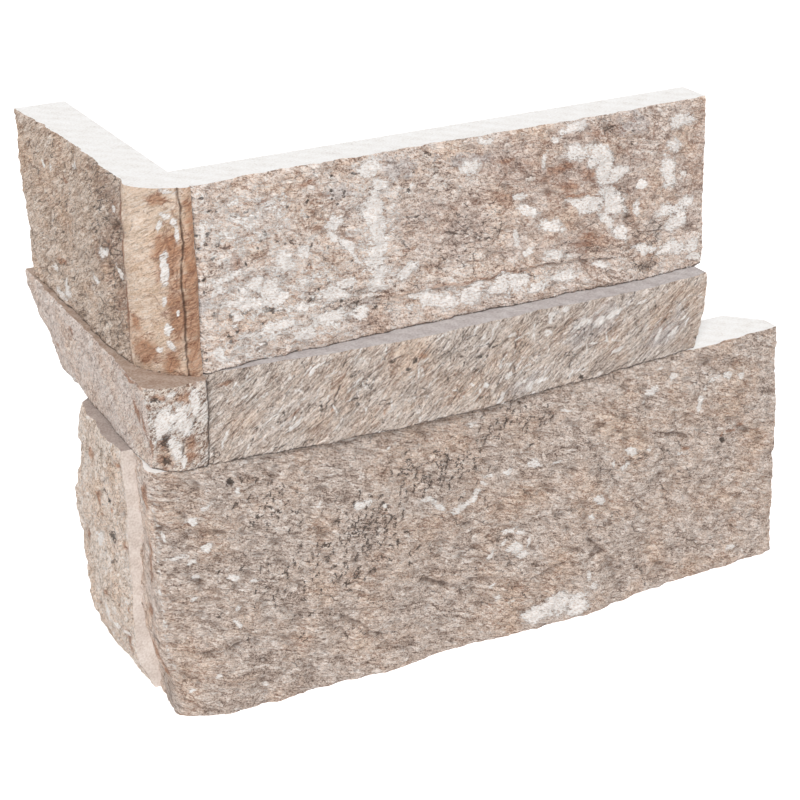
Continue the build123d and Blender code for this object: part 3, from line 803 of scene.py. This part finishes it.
# Top course, long stone: beige quartzite with white mineral patches, glued on the middle course
# behind the edge of the stone below.
top_step = 0.3
top_reach = (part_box("top_long_stone")[1].x - corner.x) / mm
lines = straight((0, 0), (top_reach, 0), (0, -1), top_step)
surface = skin("top_long_stone", lines, top_step, 7)
run = surface[0] - surface[1]
rise = surface[2]
relief = cleaved(run, rise, -10, 15, ridge=0.8, flake=0.9, hackle=0.45, fibre=0.3)
ledge_paths = (
    ((57, 110.5), (66, 110.5), (75, 109.2), (95, 109), (108, 110.2), (128, 110), (145, 108.5)),
)
relief -= ledges(run, rise, ledge_paths, drop=0.9)
relief -= worn_end(run, rise, 1, 1.1, 96)
wander = 0.5 * rough(run, rise, 5, 55)
white_places = (
    (64, 147, 4.5, 3.5), (67, 141, 3, 3), (65.5, 135, 6, 3.4, 90), (66, 129, 5, 2.8, 90),
    (66.5, 122, 6, 2.8, 85), (67, 116, 4, 2.4, 90), (65.5, 112.5, 4.4, 2.2), (55, 133.5, 4.2, 1.6),
    (54, 129.5, 2.6, 1.5, -45), (57.5, 127, 3, 1.2, -35), (60.5, 123, 4, 1, -50), (40, 126, 3.6, 3, -30),
    (45.5, 128, 2.2, 2), (25, 124.5, 4, 1.6, 20), (21.5, 121.5, 2.6, 1.1, 10), (33, 122, 2.4, 2),
    (35, 119, 3, 2.6), (30, 117, 4.6, 2, -20), (38, 116.5, 4, 2.4), (27, 113, 2.6, 2.6),
    (45, 112.5, 6, 1.4, -5), (55, 114, 4, 2.2), (58, 116.5, 3, 1.6), (22, 105, 3.6, 1.8, 110),
    (30, 107.5, 5, 1.6), (38, 109, 6, 1.2), (46, 105, 4, 2.6), (52, 108, 5, 2, 10), (62, 107, 3, 1.8),
    (84, 106.5, 5, 2.6, -15), (89, 104, 4.6, 2.2), (79, 108, 3, 1), (76, 116, 3.4, 2.8),
    (95, 141.5, 3.5, 2.2), (119, 141, 3.6, 1, 80), (122.5, 146, 1.6, 1), (128, 148, 4, 1.6),
    (130, 141.5, 6, 2.2, 5), (136.5, 140, 3.6, 3), (139, 134.5, 5, 2.6, 80), (144, 132.5, 4, 1.8, 10),
    (140, 128, 3.6, 1.8), (143, 124, 5, 3.4, -30), (135, 125, 6.4, 2.2, -15), (130, 127, 4, 1.2, -15),
    (122.5, 121.5, 4.4, 2, -15), (141, 119, 5, 2.2, -40), (146, 115, 4, 2.2, -50),
    (124, 112.5, 5, 1.8, -15), (114, 127, 4, 1.7, -20), (111, 120, 3, 1.4, 90), (115, 115, 1.6, 1.4),
    (112, 131.5, 2, 1.4), (162, 137, 4, 2.4), (160.5, 130, 5, 2.4, 100), (165.5, 128, 1.6, 1.4),
    (164, 116, 4.6, 3.6, 90), (160.5, 118.5, 3, 2.4), (152, 128, 1.6, 1.4), (151, 121, 2.6, 1.2, 100),
    (154, 109, 5, 1.2, -20), (163, 107, 4.4, 2.4), (171, 107, 3, 2.6), (168.5, 120.5, 2, 1.4),
    (164, 144, 5, 2.4), (172, 103, 3, 1.4), (97, 106, 5, 2.8), (105, 106.3, 5.6, 2.8),
    (112, 107, 4.4, 2.2), (118, 103.5, 4, 2), (128, 105.5, 5, 2.2), (140, 106.5, 4, 1),
    (17, 137, 5, 0.8, 90), (100, 148.5, 3, 0.8),
)
white = spots(run, rise, white_places, wander)
rust_places = (
    (134, 134, 5, 2.4, -45), (127, 132, 7, 1.8, -10), (131, 128.6, 5, 0.9, -10), (125, 137, 6, 1.6, -5),
    (100, 109.6, 30, 0.7), (27.5, 127, 4, 1.2, 100), (49, 133, 1.6, 1.4), (46, 145.5, 4, 1.2, 20),
    (135, 115, 7, 3, -10), (105, 142, 5, 1.4, -10), (33, 143, 4, 1.2, -20), (150, 141.5, 1, 0.8),
    (77, 121.5, 3, 0.8), (146, 147.5, 3, 1.2, -20), (102, 115, 1.4, 0.7, -20),
)
rust = 0.75 * spots(run, rise, rust_places, wander)
dark_places = (
    (19, 143, 0.8, 0.6), (27, 140.2, 1, 0.7), (18.5, 137.5, 0.9, 0.8), (18, 134.5, 0.8, 0.9),
    (21, 133.8, 0.7, 0.6), (34.5, 135, 1.2, 0.7, -45), (38.5, 132, 1, 0.6), (20, 130.5, 0.7, 0.6),
    (42.5, 131, 0.6, 1), (21, 115.5, 1, 0.7), (29.5, 114.5, 1.1, 0.9), (23, 118, 0.7, 0.6),
    (37, 113.8, 6, 0.9, -10), (48, 114, 2, 0.7, 10), (67, 107.5, 0.7, 0.6), (76.5, 138.5, 0.7, 0.8),
    (78, 131, 0.8, 0.5), (82, 147, 0.9, 0.6), (148, 144, 0.7, 0.7), (148, 140.5, 0.7, 0.7),
)
dark = spots(run, rise, dark_places, 0.6 * wander)
shaded = ((157, 113, 4, 3.4, 0), (147.5, 120, 3.8, 2, -60), (145, 127, 4, 3, 0), (140.5, 138, 4.5, 1.6, -50))
shaded += ((152, 110.5, 3, 1.6, -30), (124, 104.6, 1.8, 2, 0), (155, 104, 6, 2, 0), (139, 146, 5, 2, -50))
shaded = spots(run, rise, shaded, wander)
dark = np.maximum(dark, 0.42 * shaded)
reddish = ((112, 139, 18, 5, -6), (104, 131, 14, 3, -8), (122, 134, 12, 4, -12), (135, 145, 14, 3, 0))
rust = np.maximum(rust, 0.4 * spots(run, rise, reddish, wander))
grey_places = (
    (73, 145, 7, 4.5, -10), (56, 141, 5, 2.6), (147, 146, 5, 4), (94, 144, 10, 2.5, -8), (17, 118, 2, 5),
)
grey = spots(run, rise, grey_places, wander)
mottled_places = (
    (38, 119, 28, 12), (66, 130, 10, 22), (40, 106, 26, 7), (30, 138, 18, 12), (100, 106, 36, 4),
)
mottled = 0.4 * spots(run, rise, mottled_places, wander)
white = np.maximum(white, mottled)
pit_runs = np.random.default_rng(5).uniform(14, 62, 60)
pit_rises = np.random.default_rng(6).uniform(104, 147, 60)
pits = [(*pit, 0.45, 0.4, 0) for pit in zip(pit_runs, pit_rises)]
dark = np.maximum(dark, 2 * spots(run, rise, pits, 0))
calm = ((28, 138, 12, 9, -10), (40, 122, 16, 8, -10), (66, 130, 6, 18, 0))
calm += ((130, 138, 8, 5, 0), (141, 126, 7, 9, 0))
dark -= 0.45 * spots(run, rise, calm, wander) * (dark < 0.3)
joined = joint(surface[0])
# Painted shade: a dark band along the joint with the short stone, where the gap is in shadow.
dark = np.maximum(dark, 0.5 * joined)
relief -= joined
veins = [
    ((26, 131), (28, 128), (27, 124), (28.5, 121)),
    ((19, 120), (24, 121), (27, 124), (33, 129)),
    ((38, 147), (41, 144.5), (44, 145), (48, 148)),
    ((31, 144), (35, 142.5), (40, 140)),
    ((155, 148), (154.6, 144), (155, 140)),
]
veins += hairlines(11, 34, (38, 138), (34, 13), 10, 5) + hairlines(12, 24, (26, 122), (14, 14), 60, 5)
veins += hairlines(13, 20, (48, 126), (14, 20), 120, 5) + hairlines(14, 34, (142, 122), (30, 24), 130, 5)
veins += hairlines(15, 22, (126, 137), (24, 12), -5, 5) + hairlines(16, 22, (165, 128), (10, 30), 100, 5)
vein = tracks(run, rise, veins, 0.45)
fissures = hairlines(17, 36, (92, 126), (22, 12), -8, 7) + hairlines(18, 30, (60, 112), (40, 5), 5, 7)
fissures += hairlines(19, 30, (140, 110), (30, 6), -10, 7)
dark = np.maximum(dark, 0.6 * tracks(run, rise, fissures, 0.45))
plain_places = (
    (92, 125, 17, 9, -8), (80, 128, 9, 10), (103, 134, 10, 4, -10), (66, 105.5, 8, 4),
    (135, 130, 34, 22, -8), (165, 130, 16, 24), (110, 143, 22, 7), (135, 114.5, 30, 6, -5),
)
plain = spots(run, rise, plain_places, wander)
crack = 0.3 * shaded
# Split beige stone: pale and warm around the bloom, and a duller tan where it has none
beige = ((0.05, "#75625A"), (0.3, "#C7B0A1"), (0.5, "#E6D3C7"), (0.7, "#F3E7DF"), (0.95, "#FCF7F3"))
plain_tan = ((0.05, "#725F57"), (0.3, "#B29C90"), (0.5, "#D2BDB1"), (0.7, "#E3D3C9"), (0.95, "#F3EAE4"))
beige_quartzite = split_quartzite("split beige quartzite", beige, plain_tan, -10, 2.0, 1.0)
lay(
    "top_long",
    surface,
    relief,
    {"other": plain, "grey": grey, "white": white, "rust": rust, "vein": vein, "dark": dark, "crack": crack},
    [(top_reach, 0), (0, 0)],
    (beige_quartzite, sawn_pale, sawn_pale),
)


# Top course, short stone: tan quartzite, glued on the middle course. It runs through to the front,
# where its corner is split off aslant along a rusty seam.
top_short_step = 0.3
top_short_reach = (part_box("top_short_stone")[1].y - corner.y) / mm
lines = straight((0, top_short_reach), (0, turn), (-1, 0), top_short_step)
lines += around((0, turn), 180, 270, 0.9)[1:]
surface = skin("top_short_stone", lines, top_short_step, 3)
run = surface[0] - surface[1]
rise = surface[2]
seam_run = run + 1.8 * rough(run, rise, 9, 91)
side = np.clip((-12 - seam_run) / 2, 0, 1)
relief = cleaved(run, rise, 28, 16, ridge=0.4, flake=0.6, hackle=0.4, fibre=0.35) * (0.35 + 0.65 * side)
relief -= 0.6 * np.clip((-10.5 - seam_run) / 2, 0, 1) * np.clip((run + 25) / 12, 0, 1)
wander = 0.4 * rough(run, rise, 4, 56)
white_places = (
    (-62.5, 140, 1.7, 1.5), (-69, 139.5, 1.2, 1), (-47, 144, 2.6, 1, 40), (-57, 105.5, 4, 2.2, -20),
    (-63, 102.5, 3.6, 1.4), (-67, 108, 2, 1), (-33, 118, 3, 1.2, -10), (-27, 127, 3, 1.4, 20),
    (-17, 124, 2.6, 1.2, -45), (-17, 141.5, 1.5, 0.8), (5.5, 143.4, 2.4, 1, 10), (3.8, 140, 2.4, 0.9, 80),
    (8.5, 142, 1.5, 1.3), (9.8, 138.5, 3, 0.9, 100), (5.5, 129.5, 5, 1.4, 88), (5, 121, 1.6, 1.1, 90),
    (6, 113, 2.2, 1.6, 90), (1.5, 107, 1.6, 1), (6.5, 108, 2, 1.3, -20), (9.3, 118, 1, 0.6, 90),
    (7, 149.3, 3, 0.9), (16.5, 137, 6, 0.7, 92),
)
white = spots(run, rise, white_places, wander)
rust_places = (
    (7, 133, 9, 6, 90), (10, 118, 12, 5, 90), (7, 104, 6, 4, 90), (15, 124, 40, 3.8, 90), (3, 147, 4, 2),
    (-12.2, 143, 4, 1, 90), (-12.2, 132, 6, 1, 90), (-12.4, 116, 8, 1.2, 90), (-60, 112.5, 4, 1),
    (-54, 138, 2.2, 0.8, -20), (-4, 106, 7, 5), (-8, 113, 3, 3),
)
rust = spots(run, rise, rust_places, wander)
dark_places = (
    (-27, 148, 5, 1.5, -5), (-34.5, 143, 5, 1.2, -30), (-20, 143, 5, 2, 20), (-15, 147, 3, 1.6),
    (-17, 139, 4, 1.6, -25), (-22, 123, 3, 2, 30), (-30, 118, 2.2, 0.8, 20), (-14, 115, 4, 1.2, 90),
    (-18, 107, 4, 2, 30), (-25, 129, 5, 3, 30), (-56.5, 113, 1.4, 0.8), (-64, 118, 2.2, 1.2),
    (-16, 131, 3, 4), (-73, 136, 3, 1.6, 20),
)
dark = spots(run, rise, dark_places, wander)
crack_paths = (
    (
        (10.4, 150), (11.4, 145), (11, 141), (12.2, 136),
        (11.4, 127), (12.2, 118), (11.7, 110), (12.5, 103), (13, 100),
    ),
)
crack = tracks(run, rise, crack_paths, 0.6)
seam = np.clip(0.5 + (seam_run + 12.3) / 1.2, 0, 1)
brown = ((-26, 146, 14, 4.5, -10), (-17, 138, 6, 10, 0), (-16, 121, 5, 16, 0), (-24, 128, 11, 7, 30))
brown = spots(run, rise, brown, wander)
rust = np.maximum(rust, 0.45 * brown)
crack = np.maximum(crack, 0.32 * brown * side)
branch = [((12, 108.5), (8, 106.5), (5, 101)), ((1, 122), (3.5, 119.5))]
vein = tracks(run, rise, hairlines(61, 36, (9, 125), (9, 34), 88, 7) + 2 * branch, 0.5)
streaks = hairlines(62, 90, (-24, 128), (15, 34), 25, 7) + hairlines(63, 60, (-55, 125), (36, 34), 25, 6)
dark = np.maximum(0.35 * dark, 0.7 * tracks(run, rise, streaks, 0.5) * side)
dark -= 0.6 * seam
vein = np.maximum(vein, 1.2 * tracks(seam_run, rise, (((-12.6, 149), (-12.2, 125), (-12.6, 101)),), 1.3))
relief -= 0.7 * joint(-surface[0])
# Split tan stone: dull brown on its side, and a light even ochre on the slant along the seam
tan = ((0.05, "#6B5A4D"), (0.3, "#B29A87"), (0.5, "#D4BDAB"), (0.7, "#E4D3C5"), (0.95, "#F4E9E0"))
ochre_seam = ((0.05, "#C0A58E"), (0.3, "#D5BCA5"), (0.5, "#E1C8B3"), (0.7, "#E9D4C2"), (0.95, "#F1E2D5"))
tan_quartzite = split_quartzite("split tan quartzite", tan, ochre_seam, 28, 3.2, 0.8, 1.0)
lay(
    "top_short",
    surface,
    relief,
    {"other": seam, "white": white, "rust": rust, "vein": vein, "dark": dark, "crack": crack},
    [(0, top_short_reach)],
    (tan_quartzite, sawn_pale, sawn_pale),
)


# A plain matt floor that keeps the shadow of the stones and is white outside it, under a soft sky
# that the camera sees as white, with one large soft key light from above and in front.
def seen_directly(tree):
    """1 for the rays that show a surface itself, and 0 for the light that it sends to others."""
    rays = add(tree, "LightPath", {})
    seen = rays["Is Camera Ray"]
    for kind in ("Is Glossy Ray", "Is Transmission Ray"):
        seen = add(tree, "Math", {0: seen, 1: rays[kind]}, operation="MAXIMUM")[0]
    return seen


floor_size = 4
floor_glow = 0.6
floor = bpy.data.objects.new("floor", bpy.data.meshes.new("floor"))
bm = bmesh.new()
bmesh.ops.create_grid(bm, x_segments=1, y_segments=1, size=floor_size)
bm.to_mesh(floor.data)
bm.free()
bpy.context.scene.collection.objects.link(floor)
white_floor = bpy.data.materials.new("white studio floor")
white_floor.use_nodes = True
tree = white_floor.node_tree
shader = tree.nodes["Principled BSDF"]
shader.inputs["Base Color"].default_value = (0.9, 0.9, 0.9, 1)
shader.inputs["Roughness"].default_value = 1
shader.inputs["Specular IOR Level"].default_value = 0
glow = {0: seen_directly(tree), 1: floor_glow}
glow = add(tree, "Math", glow, operation="MULTIPLY")[0]
glow = add(tree, "Emission", {"Color": (1, 1, 1, 1), "Strength": glow})[0]
both = add(tree, "AddShader", {0: shader.outputs[0], 1: glow})[0]
tree.links.new(both, tree.nodes["Material Output"].inputs["Surface"])
floor.data.materials.append(white_floor)

world = bpy.data.worlds.new("soft white sky")
bpy.context.scene.world = world
world.use_nodes = True
tree = world.node_tree
sky_light = 0.6
light = {"Value": seen_directly(tree), "To Min": sky_light, "To Max": 1}
light = add(tree, "MapRange", light)[0]
sky = tree.nodes["Background"]
sky.inputs["Color"].default_value = (1, 1, 1, 1)
tree.links.new(light, sky.inputs["Strength"])

key = bpy.data.objects.new("key light", bpy.data.lights.new("key light", "SUN"))
key_softness = 20
key_from_above = 54
key_bearing = -34
key.data.energy = 2
key.data.angle = radians(key_softness)
key.rotation_euler = (radians(key_from_above), 0, radians(key_bearing))
bpy.context.scene.collection.objects.link(key)
